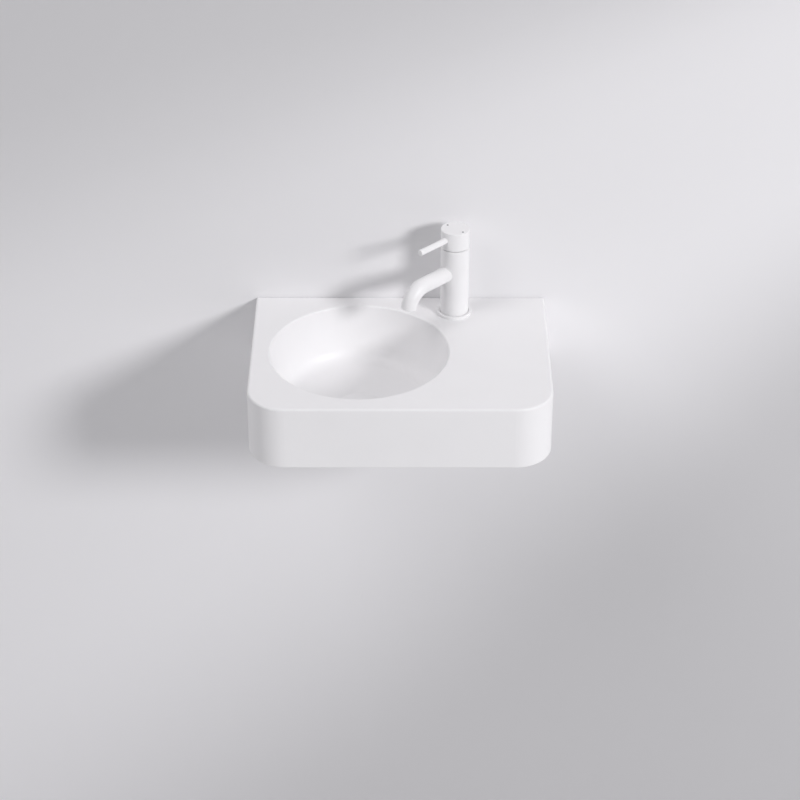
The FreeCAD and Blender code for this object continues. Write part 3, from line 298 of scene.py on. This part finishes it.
def wall_paint_with_light_band():
    """Plain wall paint with one wide pale band of painted light: a beam painted into the colour, darker
    outside it.
    """
    g = Graph("wall_paint_and_painted_light")
    place = g.add("ShaderNodeSeparateXYZ")
    g.join(g.coordinates.outputs["Object"], place.inputs["Vector"])
    across = g.maths("MAXIMUM", g.maths("SUBTRACT", LIGHT_BAND_ACROSS, place.outputs["X"]), LIGHT_BAND_LEAST_WAY)
    slope = g.maths("DIVIDE", g.maths("SUBTRACT", LIGHT_BAND_HEIGHT, place.outputs["Z"]), across)
    share = g.mapped(slope, low=0.0, high=1.0, start=LIGHT_BAND_FIRST_SLOPE, end=LIGHT_BAND_LAST_SLOPE)
    span = LIGHT_BAND_LAST_SLOPE - LIGHT_BAND_FIRST_SLOPE
    # The band's tones are painted light and shade: the wall's colour lighter in the beam, darker outside
    # it
    stops = [((at - LIGHT_BAND_FIRST_SLOPE) / span, shade(WALL_COLOUR, tone)) for at, tone in LIGHT_BAND_TONES]
    tones = g.ramp(share, stops, blend="B_SPLINE")
    g.clear_from_behind(g.principled(Base_Color=tones, Roughness=0.8, Specular_IOR_Level=0.2))
    return g.material


def painted_floor():
    """Plain floor paint with faint clouds."""
    g = Graph("floor_paint")
    tones = g.mottled(g.noise(scale=1.0, detail=1.0), FLOOR_COLOUR, 0.99)
    g.clear_from_behind(g.principled(Base_Color=tones, Roughness=0.7))
    return g.material


def backdrop(name, corners, faces, material):
    mesh = bpy.data.meshes.new(name)
    mesh.from_pydata(corners, [], faces)
    mesh.materials.append(material)
    thing = bpy.data.objects.new(name, mesh)
    bpy.context.scene.collection.objects.link(thing)


def wall_corners(half_width, low, high):
    """A level rectangle in the wall's plane, midway over the origin."""
    flat = [(-half_width, low), (half_width, low), (half_width, high), (-half_width, high)]
    return [(across, WALL_SETBACK, height) for across, height in flat]


def wall():
    """A wall that is open behind the basin, so that light reaches the basin's rear face."""
    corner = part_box("basin_shell")[1]
    outside = wall_corners(WALL_HALF, FLOOR_HEIGHT, WALL_HALF)
    # The rear face is as far below the origin as above it
    opening = wall_corners(corner.x - WALL_LAP, WALL_LAP - corner.z, corner.z - WALL_LAP)
    count = len(outside)
    following = [(start + 1) % count for start in range(count)]
    faces = [(start, end, end + count, start + count) for start, end in enumerate(following)]
    backdrop("wall", outside + opening, faces, wall_paint_with_light_band())


def floor():
    half = WALL_HALF
    flat = [(-half, -half), (half, -half), (half, half), (-half, half)]
    corners = [(across, out, FLOOR_HEIGHT) for across, out in flat]
    backdrop("floor", corners, [(0, 1, 2, 3)], painted_floor())


wall()
floor()


def thread_groove(axis, radius, low, high, thread, fades_in=False):
    """The space between the ridges of a screw thread: a helical wedge, which runs out at its end."""
    pitch, depth, steps = thread
    reach = depth + CUTTER_SPARE * pitch
    half = (0.5 - THREAD_CREST) * pitch * reach / depth
    turns = (high - low) / pitch
    corners, faces = [], []
    for index in range(int(turns * steps) + 1):
        turn = index / steps
        share = min(1.0, (turns - turn) / RUN_OUT_TURN)
        if fades_in:
            share = min(share, turn / RUN_OUT_TURN)
        foot = radius - depth * max(share, RUN_OUT_DEPTH)
        rim = radius - depth + reach
        middle = low + turn * pitch
        angle = 2.0 * math.pi * turn
        for out, height in ((foot, middle), (rim, middle - half), (rim, middle + half)):
            corners.append((axis.x + out * math.cos(angle), axis.y + out * math.sin(angle), height))
        if index:
            new = 3 * index
            old = new - 3
            faces += [(old + a, old + b, new + b, new + a) for a, b in ((0, 1), (1, 2), (2, 0))]
    last = len(corners) - 3
    faces += [(0, 1, 2), (last, last + 1, last + 2)]
    mesh = bpy.data.meshes.new("groove")
    mesh.from_pydata(corners, [], faces)
    return mesh


def reworked(mesh, work):
    """Changes a mesh by a bmesh function."""
    solid = bmesh.new()
    solid.from_mesh(mesh)
    work(solid)
    solid.to_mesh(mesh)
    solid.free()


def face_out(solid):
    bmesh.ops.recalc_face_normals(solid, faces=solid.faces)


def weld(solid):
    bmesh.ops.remove_doubles(solid, verts=solid.verts, dist=WELD_DISTANCE)
    face_out(solid)


def smooth(solid):
    for face in solid.faces:
        face.smooth = True
    for edge in solid.edges:
        edge.smooth = edge.is_manifold and edge.calc_face_angle() < SMOOTH_ANGLE


def threaded(name, node, grooves):
    """The same piece with its screw threads cut, which stands for the plain one."""
    piece = bpy.data.objects.new(name, nodes[node].data.copy())
    bpy.context.scene.collection.objects.link(piece)
    reworked(piece.data, weld)
    cutters = []
    for mesh in grooves:
        reworked(mesh, face_out)
        cutter = bpy.data.objects.new("groove", mesh)
        bpy.context.scene.collection.objects.link(cutter)
        cut = piece.modifiers.new("cut", "BOOLEAN")
        cut.operation = "DIFFERENCE"
        cut.solver = "EXACT"
        cut.object = cutter
        cutters.append(cutter)
    whole = piece.evaluated_get(bpy.context.evaluated_depsgraph_get())
    mesh = bpy.data.meshes.new_from_object(whole)
    piece.modifiers.clear()
    piece.data = mesh
    for cutter in cutters:
        bpy.data.objects.remove(cutter)
    reworked(mesh, smooth)
    mesh.materials.clear()
    mesh.materials.append(MATERIALS[SLOTS[node]])
    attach(piece, "fixed")
    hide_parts(node)


def middle_of(node):
    low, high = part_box(node)
    return (low + high) / 2


def waste_tail():
    """The trap's thread from the foot up to a plain relief, then the back nut's thread up to its nut."""
    axis = middle_of("waste_body")
    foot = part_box("waste_body")[0].z
    relief = foot + TRAP_THREAD_LENGTH
    nut_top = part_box("waste_backnut")[1].z
    pitch = PIPE_THREAD[0]
    threaded("waste_tail", "waste_body", (
        thread_groove(axis, TAIL_RADIUS, foot - pitch, relief, PIPE_THREAD),
        thread_groove(axis, TAIL_RADIUS, relief + RELIEF_WIDTH, nut_top, PIPE_THREAD, fades_in=True),
    ))


def threaded_stud():
    """The stud is threaded from its foot up to the top of its nut."""
    axis = middle_of("fixing_stud")
    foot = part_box("fixing_stud")[0].z
    nut_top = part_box("fixing_nut")[1].z
    pitch = STUD_THREAD[0]
    threaded("threaded_stud", "fixing_stud", (
        thread_groove(axis, STUD_RADIUS, foot - pitch, nut_top, STUD_THREAD),
    ))


waste_tail()
threaded_stud()


def area_lamp(name, direction, distance, size, power, colour):
    data = bpy.data.lights.new(name, "AREA")
    data.shape = "DISK"
    data.size = size
    data.energy = power
    data.color = colour
    lamp = bpy.data.objects.new(name, data)
    towards = Vector(direction).normalized()
    lamp.location = Vector(LAMP_AIM) + towards * distance
    lamp.rotation_euler = towards.to_track_quat("Z", "Y").to_euler()
    bpy.context.scene.collection.objects.link(lamp)


def room_light():
    """An even soft light from all round."""
    world = bpy.data.worlds.new("room_light")
    world.use_nodes = True
    background = world.node_tree.nodes["Background"]
    background.inputs["Color"].default_value = (*WORLD_COLOUR, 1.0)
    background.inputs["Strength"].default_value = WORLD_STRENGTH
    return world


def fitted_camera():
    data = bpy.data.cameras.new("camera")
    data.sensor_width = SENSOR_MM
    data.lens = FOCAL_PIXELS / PICTURE_PIXELS * SENSOR_MM
    data.clip_end = CAMERA_REACH
    camera = bpy.data.objects.new("camera", data)
    camera.location = CAMERA_PLACE
    camera.rotation_euler = (math.pi / 2 - CAMERA_PITCH, 0.0, CAMERA_YAW)
    bpy.context.scene.collection.objects.link(camera)
    return camera


for lamp_facts in LAMPS:
    area_lamp(*lamp_facts)
scene = bpy.context.scene
scene.world = room_light()
scene.view_settings.view_transform = "Standard"
scene.camera = fitted_camera()
